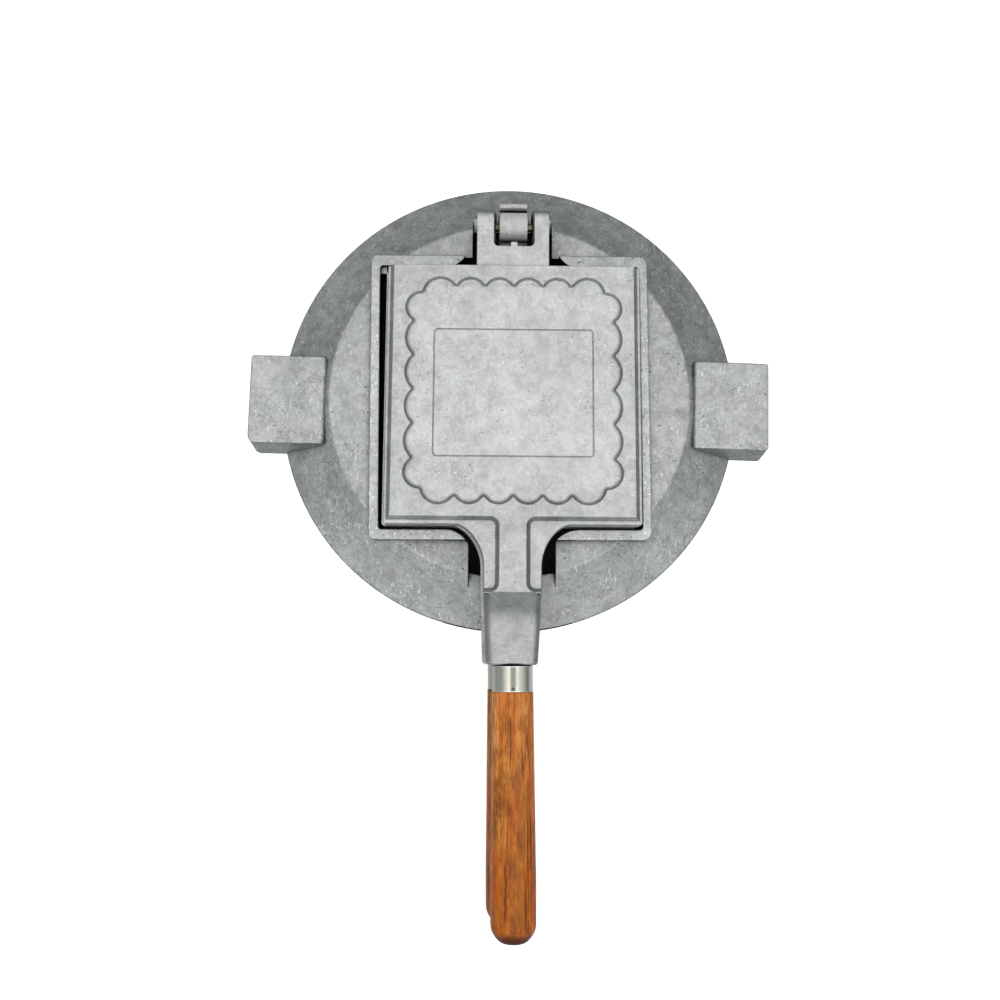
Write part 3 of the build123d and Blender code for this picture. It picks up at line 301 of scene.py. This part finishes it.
        # the flat top is paler in the middle and darker towards its ends; painted shade on the skirt, lighter towards
        # its rim as its flatter slope is lit
        top = g.math("MULTIPLY", g.step(up.outputs[2], 0.96, 0.99), g.step(pos.outputs[2], 16.6, 17.2))
        gap = g.math("MULTIPLY", gap, g.math("ADD", 1.0, g.math("MULTIPLY", top, g.step(hy, 50.0, 90.0, 0.05, -0.09))))
        radial = g.vmath("LENGTH", g.vmath("MULTIPLY", mm, (1.0, 1.0, 0.0)))
        gap = g.math("MULTIPLY", gap, g.step(radial, 98.0, 124.0, 0.94, 1.10))
        # darker towards the front and out along the lugs
        gap = g.math("MULTIPLY", gap, g.step(pos.outputs[1], -100.0, -80.0, 0.93, 1.0))
        gap = g.math("MULTIPLY", gap, g.step(hx, 106.0, 112.0, 1.0, 0.89))

    # painted highlight along the edges
    painted_edge_highlight = g.mix(1.0, col, (1.20, 1.20, 1.20, 1), "MULTIPLY")
    col = g.mix(g.math("MULTIPLY", edge, g.step(mottle, 0.35, 0.6, 0.25, 0.8)), col, painted_edge_highlight)
    light_mark = tuple(min(1.0, c * 2.05) for c in base) + (1,)
    col = g.mix(g.math("MULTIPLY", lines, 0.7), col, light_mark)
    col = g.mix(g.math("MULTIPLY", flecks, 0.7), col, light_mark)
    col = g.mix(g.math("MULTIPLY", dark, 0.55), col, (0.13, 0.13, 0.128, 1))
    col = g.mix(g.math("MULTIPLY", pits, 0.75), col, (0.06, 0.059, 0.057, 1))
    # painted shade in corners and recesses
    col = g.mix(painted_corner_shade, col, g.mix(1.0, col, (0.36, 0.37, 0.37, 1), "MULTIPLY"))
    if neck:
        sepn = g.add("ShaderNodeSeparateXYZ")
        g.link(mm, sepn.inputs[0])
        col = g.mix(1.0, col, grey(g, g.step(sepn.outputs[1], -122.0, -104.0, neck, 1.0)), "MULTIPLY")
    # gap carries the painted shade and the lighter and darker zones worked out above
    col = g.mix(1.0, col, grey(g, gap), "MULTIPLY")
    g.link(col, bsdf.inputs["Base Color"])

    r = g.math("ADD", g.math("MULTIPLY", g.math("SUBTRACT", mottle, 0.5), 0.16), rough)
    r = g.math("ADD", r, g.math("MULTIPLY", g.math("MAXIMUM", pits, dark), 0.25))
    r = g.math("SUBTRACT", r, g.math("MULTIPLY", g.math("MAXIMUM", lines, flecks), 0.10))
    g.link(g.math("MAXIMUM", g.math("MINIMUM", r, 0.9), 0.12), bsdf.inputs["Roughness"])
    shiny = g.step(gap, 0.08, 0.45)
    if tail:
        # sand-rough there, so it scatters the light
        shiny = g.math("MULTIPLY", shiny, g.math("SUBTRACT", 1.0, g.math("MULTIPLY", behind, 0.75)))
    g.link(shiny, bsdf.inputs["Metallic"])
    bsdf.inputs["Specular IOR Level"].default_value = 0.0

    height = g.math("ADD", g.math("MULTIPLY", sand, 0.35), g.math("MULTIPLY", grain, 0.7))
    height = g.math("ADD", height, g.math("MULTIPLY", mottle, 1.1))
    height = g.math("SUBTRACT", height, g.math("MULTIPLY", pits, 1.6))
    height = g.math("SUBTRACT", height, g.math("MULTIPLY", dark, 0.9))
    height = g.math("ADD", height, g.math("MULTIPLY", flecks, 0.5))
    height = g.math("SUBTRACT", height, g.math("MULTIPLY", lines, 0.35))
    bump = g.add("ShaderNodeBump")
    bump.inputs["Strength"].default_value = 0.6
    bump.inputs["Distance"].default_value = 0.00026
    g.link(height, bump.inputs["Height"])
    g.link(bevel.outputs[0], bump.inputs["Normal"])
    g.link(bump.outputs[0], bsdf.inputs["Normal"])
    return m


# -------------------------------------------------------------------- wood
def turned_wood(name, axis_x, axis_z, seed, shade=1.0, cracks=()):
    """Turned hardwood with a thin satin lacquer; the grain runs along Y."""
    m, g, bsdf = new_material(name)
    tc = g.add("ShaderNodeTexCoord")
    mm = g.vmath("SCALE", tc.outputs["Object"], 1000.0)
    c0 = g.vmath("SUBTRACT", mm, (axis_x * 1000.0, 0.0, axis_z * 1000.0))
    p = g.vmath("ADD", c0, (seed, seed * 3.0, seed * 0.7))

    warp = g.noise(g.mapping(p, (1, 0.06, 1)), 0.09, 2.0, 0.5, out="Color")
    pw = g.vmath("ADD", p, g.vmath("SCALE", g.vmath("SUBTRACT", warp, (0.5, 0.5, 0.5)), 5.0))
    bands = g.noise(g.mapping(pw, (1.0, 0.020, 1.0), (0, 0.35, 0)), 0.21, 2.0, 0.55, 0.3)
    streak = g.noise(g.mapping(pw, (1.0, 0.035, 1.0)), 0.75, 3.0, 0.6)
    fibre = g.noise(g.mapping(pw, (1.0, 0.075, 1.0)), 2.6, 3.0, 0.65)
    slow = g.noise(g.mapping(p, (1.0, 0.25, 1.0)), 0.045, 2.0)
    figure = g.noise(g.mapping(pw, (1.0, 0.5, 1.0), (0, 0, 0), (17, 5, 3)), 0.16, 3.0, 0.6, 0.6)

    a = g.ramp(bands, [(0.30, (0.470, 0.100, 0.0070)), (0.43, (0.520, 0.140, 0.0135)),
                       (0.54, (0.520, 0.185, 0.0290)), (0.68, (0.530, 0.245, 0.0600))])
    s = g.step(streak, 0.32, 0.68)
    b = g.mix(g.math("MULTIPLY", s, 0.28), a, (0.62, 0.260, 0.060))
    b = g.mix(g.step(figure, 0.47, 0.62, 0.0, 0.62), b, (0.30, 0.080, 0.009))
    b = g.mix(1.0, b, grey(g, g.step(fibre, 0.32, 0.68, 0.60, 1.26)), "MULTIPLY")
    b = g.mix(1.0, b, grey(g, g.step(streak, 0.34, 0.66, 0.78, 1.12)), "MULTIPLY")
    # tan patches, where the finish has worn thin
    b = g.mix(g.step(g.noise(g.mapping(p, (1.0, 0.30, 1.0), (0, 0, 0), (8, 2, 41)), 0.11, 3.0, 0.6), 0.49, 0.58, 0.0, 0.75), b,
              g.mix(1.0, b, (1.16, 1.42, 1.9, 1), "MULTIPLY"))
    # redder patches
    c = g.mix(g.step(slow, 0.46, 0.58, 0.0, 0.50), b, (0.46, 0.088, 0.009))
    # uneven finish, in blots a few millimetres wide
    blot = g.noise(g.mapping(pw, (1.0, 0.32, 1.0), (0, 0, 0), (5, 19, 12)), 0.20, 3.0, 0.62)
    c = g.mix(1.0, c, grey(g, g.step(blot, 0.36, 0.62, 0.76, 1.18)), "MULTIPLY")
    # dark grain lines, long and thin
    ln = g.noise(g.mapping(pw, (1.0, 0.012, 1.0), (0, 1.1, 0), (4.0, 0, 9.0)), 0.42, 1.0, 0.4)
    band = g.math("ABSOLUTE", g.math("SUBTRACT", ln, 0.5))
    gate = g.step(g.noise(g.mapping(p, (1, 0.3, 1), (0, 0, 0), (31, 7, 3)), 0.09, 1.0), 0.45, 0.54)
    line = g.math("MULTIPLY", g.step(band, 0.0, 0.036, 1.0, 0.0), gate)
    c = g.mix(g.math("MULTIPLY", line, 0.85), c, (0.11, 0.020, 0.002))
    # single dark seams in the upper side: place across, from, to, half width and strength, in mm
    csep = g.add("ShaderNodeSeparateXYZ")
    g.link(c0, csep.inputs[0])
    wander = g.math("MULTIPLY", g.math("SUBTRACT", g.noise(g.mapping(mm, (0.05, 0.30, 0.05)), 1.0, 2.0, 0.5), 0.5), 1.6)
    for x0, y0, y1, half, deep_mix in cracks:
        d = g.math("ABSOLUTE", g.math("SUBTRACT", g.math("ADD", csep.outputs[0], wander), x0))
        seam = g.math("MULTIPLY", g.step(d, half * 0.3, half, 1.0, 0.0), g.step(csep.outputs[2], 2.0, 4.0))
        seam = g.math("MULTIPLY", seam, g.math("MULTIPLY", g.step(csep.outputs[1], y0 - 3.0, y0 + 3.0, 1.0, 0.0), g.step(csep.outputs[1], y1 - 4.0, y1 + 4.0)))
        c = g.mix(g.math("MULTIPLY", seam, deep_mix), c, (0.105, 0.022, 0.003))
    # short pores and dark flecks
    pv = g.voronoi(g.mapping(pw, (1.0, 0.14, 1.0)), 0.95)
    psep = g.add("ShaderNodeSeparateColor")
    g.link(pv.outputs["Color"], psep.inputs[0])
    pr = g.step(psep.outputs[0], 0.45, 1.0, 0.0, 0.24)
    pore = g.step(g.math("SUBTRACT", 1.0, g.math("DIVIDE", pv.outputs["Distance"], g.math("ADD", pr, 0.0005)), clamp=True), 0.0, 0.6)
    c = g.mix(g.math("MULTIPLY", pore, 0.65), c, (0.15, 0.032, 0.004))
    # pale flecks, where the light catches open pores
    lf = g.step(g.noise(g.mapping(p, (1.0, 0.35, 1.0), (0, 0, 0), (3, 9, 27)), 1.3, 2.0, 0.6), 0.66, 0.73)
    c = g.mix(g.math("MULTIPLY", lf, 0.40), c, (0.74, 0.42, 0.17))
    # painted shade: the rounded end is darker, as it turns away from the light
    sepn = g.add("ShaderNodeSeparateXYZ")
    g.link(mm, sepn.inputs[0])
    end_shade = g.step(sepn.outputs[1], -272.4, -267.6, 0.95, 0.0)
    c = g.mix(end_shade, c, (0.060, 0.014, 0.003))
    # painted light along the grip: darker and warmer towards the end, paler and cooler towards the ferrule; shade
    # darkens a whole grip, as painted shade for the lower grip under the upper one
    c = g.mix(g.step(sepn.outputs[1], -268.0, -150.0), g.mix(1.0, c, (0.68 * shade, 0.63 * shade, 0.24 * shade, 1), "MULTIPLY"), g.mix(1.0, c, (0.99 * shade, 1.15 * shade, 1.42 * shade, 1), "MULTIPLY"))
    # painted shade against the other grip, where they lie close together
    deep = g.add("ShaderNodeAmbientOcclusion", samples=8)
    deep.inputs["Distance"].default_value = 0.012
    c = g.mix(1.0, c, grey(g, g.step(deep.outputs["AO"], 0.08, 0.60, 0.10, 1.0)), "MULTIPLY")
    g.link(c, bsdf.inputs["Base Color"])

    r = g.math("ADD", 0.44, g.math("MULTIPLY", g.math("SUBTRACT", streak, 0.5), 0.2))
    r = g.math("ADD", r, g.math("MULTIPLY", pore, 0.2))
    g.link(r, bsdf.inputs["Roughness"])
    bsdf.inputs["Specular IOR Level"].default_value = 0.17
    bsdf.inputs["Coat Weight"].default_value = 0.05
    bsdf.inputs["Coat Roughness"].default_value = 0.25
    h = g.math("ADD", g.math("MULTIPLY", fibre, 0.6), g.math("MULTIPLY", streak, 0.5))
    h = g.math("SUBTRACT", h, g.math("MULTIPLY", g.math("MAXIMUM", pore, line), 0.8))
    # faint turning marks round the grip
    ring = g.noise(g.mapping(mm, (0.02, 1.0, 0.02)), 0.9, 2.0, 0.5)
    h = g.math("ADD", h, g.math("MULTIPLY", ring, 0.35))
    bump = g.add("ShaderNodeBump")
    bump.inputs["Strength"].default_value = 0.45
    bump.inputs["Distance"].default_value = 0.00018
    g.link(h, bump.inputs["Height"])
    g.link(bump.outputs[0], bsdf.inputs["Normal"])
    return m


# ------------------------------------------------------------------- steel
def steel(name, base, rough, along=(1, 0.02, 1), scale=2.2, bump_mm=0.00003, stain_amp=0.5, rim=None, stripe=False):
    """Drawn or turned steel with fine lines in one direction and slight tarnish."""
    m, g, bsdf = new_material(name)
    tc = g.add("ShaderNodeTexCoord")
    mm = g.vmath("SCALE", tc.outputs["Object"], 1000.0)
    lines = g.noise(g.mapping(mm, along), scale, 3.0, 0.65)
    stain = g.noise(mm, 0.22, 4.0, 0.6, 0.5)
    specks = g.step(cells(g, mm, 0.7, 0, 0.72, 0.16), 0.0, 0.6)
    col = g.mix(g.step(stain, 0.40, 0.72, 0.0, stain_amp), (*base, 1), (base[0] * 0.72, base[1] * 0.68, base[2] * 0.58, 1))
    col = g.mix(g.step(lines, 0.35, 0.7, 0.0, 0.25), col, (base[0] * 0.8, base[1] * 0.8, base[2] * 0.78, 1))
    col = g.mix(g.math("MULTIPLY", specks, 0.45), col, (base[0] * 0.35, base[1] * 0.32, base[2] * 0.27, 1))
    sepn = g.add("ShaderNodeSeparateXYZ")
    g.link(mm, sepn.inputs[0])
    r = g.math("ADD", rough, g.math("MULTIPLY", g.math("SUBTRACT", stain, 0.5), 0.14))
    if stripe:
        # painted reflection: darker where the tube faces up or down, brighter on its sides and brightest on the right
        nrm = g.add("ShaderNodeSeparateXYZ")
        g.link(tc.outputs["Normal"], nrm.inputs[0])
        nx = g.math("ABSOLUTE", g.math("SUBTRACT", nrm.outputs[0], 0.02))
        painted_reflection = g.math("MULTIPLY", g.step(nx, 0.09, 0.19, 0.52, 1.0), g.step(nx, 0.62, 0.90, 1.0, 1.36))
        painted_reflection = g.math("MULTIPLY", painted_reflection, g.step(nrm.outputs[0], 0.40, 0.70, 1.0, 1.30))
        col = g.mix(1.0, col, grey(g, painted_reflection), "MULTIPLY")
    if rim:
        # rolled rims at both ends are brighter and a little blunter
        d = g.math("ABSOLUTE", g.math("SUBTRACT", sepn.outputs[1], rim[0]))
        band = g.step(d, rim[1] - 0.9, rim[1] - 0.25)
        col = g.mix(g.math("MULTIPLY", band, 0.7), col, (0.86, 0.85, 0.80, 1))
        r = g.math("ADD", r, g.math("MULTIPLY", band, 0.16))
    # painted shade where other parts close in
    deep = g.add("ShaderNodeAmbientOcclusion", samples=8)
    deep.inputs["Distance"].default_value = 0.009
    col = g.mix(1.0, col, grey(g, g.step(deep.outputs["AO"], 0.10, 0.55, 0.04, 1.0)), "MULTIPLY")
    g.link(col, bsdf.inputs["Base Color"])
    g.link(r, bsdf.inputs["Roughness"])
    bsdf.inputs["Metallic"].default_value = 1.0
    bump = g.add("ShaderNodeBump")
    bump.inputs["Strength"].default_value = 0.35
    bump.inputs["Distance"].default_value = bump_mm
    g.link(lines, bump.inputs["Height"])
    g.link(bump.outputs[0], bsdf.inputs["Normal"])
    return m


def give(node, mat):
    ob = nodes[node]
    if not ob.data.materials:
        ob.data.materials.append(mat)
    for s in ob.material_slots:
        s.material = mat


IRON_X, LOWER_X, PART_Z, HANDLE_H = 0.0016, 0.0001, 0.0252, 0.0131
stand_mat = cast_metal("stand_cast_aluminium", (0.386, 0.388, 0.388), (1.0, 1.0, 1.0), (0.95, 0.99, 0.995), (0.0, 0.0, 0.0),
                       rough=0.50, grain_amp=0.20, pit=0.95, fleck=1.0, scratch=0.75, well=True, mott=0.34, steep=0.86)
upper_mat = cast_metal("upper_plate_cast_aluminium", (0.478, 0.479, 0.477), (1.0, 1.0, 1.0), (0.96, 0.985, 0.985), (120.0, 40.0, 7.0),
                       rough=0.46, grain_amp=0.13, mott=0.26, pit=0.60, fleck=0.42, scratch=0.20, corner_shade=0.80, neck=0.84, steep=0.90, face=(1.6, 12.00))
lower_mat = cast_metal("lower_plate_cast_aluminium", (0.470, 0.471, 0.469), (1.0, 1.0, 1.0), (0.96, 0.985, 0.985), (-90.0, 70.0, 31.0),
                       rough=0.46, grain_amp=0.13, mott=0.26, pit=0.60, fleck=0.42, scratch=0.20, corner_shade=0.80, steep=0.90, tail=True, face=(0.1, 12.00))
give("base_stand", stand_mat)
give("upper_plate", upper_mat)
give("lower_plate", lower_mat)
give("upper_handle_grip", turned_wood("upper_grip_wood", IRON_X, PART_Z + HANDLE_H, 11.0,
                                       cracks=((-0.9, -168.0, -190.0, 0.55, 0.85), (-3.2, -236.0, -263.0, 0.75, 0.80), (-1.5, -205.0, -214.0, 0.4, 0.5))))
give("lower_handle_grip", turned_wood("lower_grip_wood", LOWER_X, PART_Z - HANDLE_H, 47.0, 0.70))
ferrule_mat = steel("ferrule_bright_steel", (0.58, 0.565, 0.505), 0.20, stain_amp=0.25, rim=(-148.9, 6.4), stripe=True)
give("upper_ferrule", ferrule_mat)
give("lower_ferrule", ferrule_mat)
pin_mat = steel("pin_steel", (0.42, 0.38, 0.26), 0.34, along=(0.03, 1, 1))
give("hinge_pin", pin_mat)
stud_mat = steel("stud_steel", (0.36, 0.34, 0.31), 0.42, along=(1, 1, 1))
give("upper_handle_stud", stud_mat)
give("lower_handle_stud", stud_mat)
brad_mat = steel("brad_steel", (0.12, 0.115, 0.11), 0.45, along=(1, 1, 1))
give("upper_ferrule_brad", brad_mat)
give("lower_ferrule_brad", brad_mat)

# smooth shading on the round surfaces, sharp where faces meet at an angle
for name, ob in nodes.items():
    me = ob.data
    me.polygons.foreach_set("use_smooth", [True] * len(me.polygons))

# ------------------------------------------------------------------- floor
me = bpy.data.meshes.new("floor")
S = 6.0
me.from_pydata([(-S, -S, 0), (S, -S, 0), (S, S, 0), (-S, S, 0)], [], [(0, 1, 2, 3)])
floor = bpy.data.objects.new("floor", me)
scene.collection.objects.link(floor)
fm, fg, fb = new_material("floor_pale")
# pale everywhere but a disc under the stand, painted black as the shadow inside it
ftc = fg.add("ShaderNodeTexCoord")
flat = fg.vmath("MULTIPLY", ftc.outputs["Object"], (1.0, 1.0, 0.0))
under = fg.step(fg.vmath("LENGTH", flat), 0.1135, 0.1185)
fg.link(fg.mix(under, (0.02, 0.02, 0.02, 1), (0.93, 0.93, 0.93, 1)), fb.inputs["Base Color"])
fb.inputs["Roughness"].default_value = 0.9
fb.inputs["Specular IOR Level"].default_value = 0.1
fb.inputs["Emission Color"].default_value = (1, 1, 1, 1)
fg.link(fg.math("MULTIPLY", under, 0.45), fb.inputs["Emission Strength"])
floor.data.materials.append(fm)
floor.visible_glossy = False

# ------------------------------------------------------------------- light
world = bpy.data.worlds.new("studio")
scene.world = world
world.use_nodes = True
world.node_tree.nodes.clear()
w = Nodes(world.node_tree)
wo = w.add("ShaderNodeOutputWorld")
bg = w.add("ShaderNodeBackground")
w.link(bg.outputs[0], wo.inputs["Surface"])
tc = w.add("ShaderNodeTexCoord")
sep = w.add("ShaderNodeSeparateXYZ")
w.link(tc.outputs["Generated"], sep.inputs[0])
X, Y, Z = sep.outputs
zc = w.math("MAXIMUM", Z, 0.02)
ax = w.math("DIVIDE", w.math("ABSOLUTE", X), zc)
ay = w.math("DIVIDE", w.math("ABSOLUTE", Y), zc)
dome = w.ramp(w.math("ADD", w.math("MULTIPLY", Z, 0.5), 0.5),
              [(0.0, 0.50), (0.25, 0.45), (0.36, 0.30), (0.47, 0.19), (0.56, 0.22), (0.66, 0.52), (0.78, 0.82),
               (0.90, 1.12), (1.0, 1.03)])
side = w.math("ADD", w.step(Y, -0.48, 0.02, 0.48, 0.0), w.step(Y, 0.05, 0.60, 1.0, 0.98))
dome = w.math("MULTIPLY", dome, side)
low = w.math("MULTIPLY", w.step(Y, 0.35, 0.60), w.step(Z, -0.35, -0.12, 1.0, 0.0))
dome = w.math("MULTIPLY", dome, w.math("SUBTRACT", 1.0, w.math("MULTIPLY", low, 0.62)))
dim = w.math("MULTIPLY", w.step(X, -0.80, -0.60, 1.0, 0.0), w.math("MULTIPLY", w.step(Z, 0.35, 0.45), w.step(Z, 0.58, 0.66, 1.0, 0.0)))
dome = w.math("MULTIPLY", dome, w.math("SUBTRACT", 1.0, w.math("MULTIPLY", dim, 0.28)))
# a pale wall on the left
wall = w.math("MULTIPLY", w.step(X, -0.70, -0.35, 1.0, 0.0), w.step(w.math("ABSOLUTE", Z), 0.07, 0.19, 1.0, 0.0))
dome = w.math("ADD", dome, w.math("MULTIPLY", wall, 0.28))
strip = w.math("MULTIPLY", w.step(ax, 0.16, 0.26), w.step(ax, 0.50, 0.75, 1.0, 0.0))
strip = w.math("MULTIPLY", strip, w.step(ay, 0.9, 1.5, 1.0, 0.0))
strip = w.math("MULTIPLY", strip, w.step(Z, 0.02, 0.1))
total = w.math("ADD", dome, w.math("MULTIPLY", strip, 0.55))
tintw = w.mix(w.step(Z, 0.25, 0.85), (0.92, 0.985, 1.0), (1.0, 1.0, 0.99))
cc = w.add("ShaderNodeCombineColor")
for i in range(3):
    w.link(total, cc.inputs[i])
w.link(w.mix(1.0, cc.outputs[0], tintw, "MULTIPLY"), bg.inputs["Color"])
bg.inputs["Strength"].default_value = 1.0
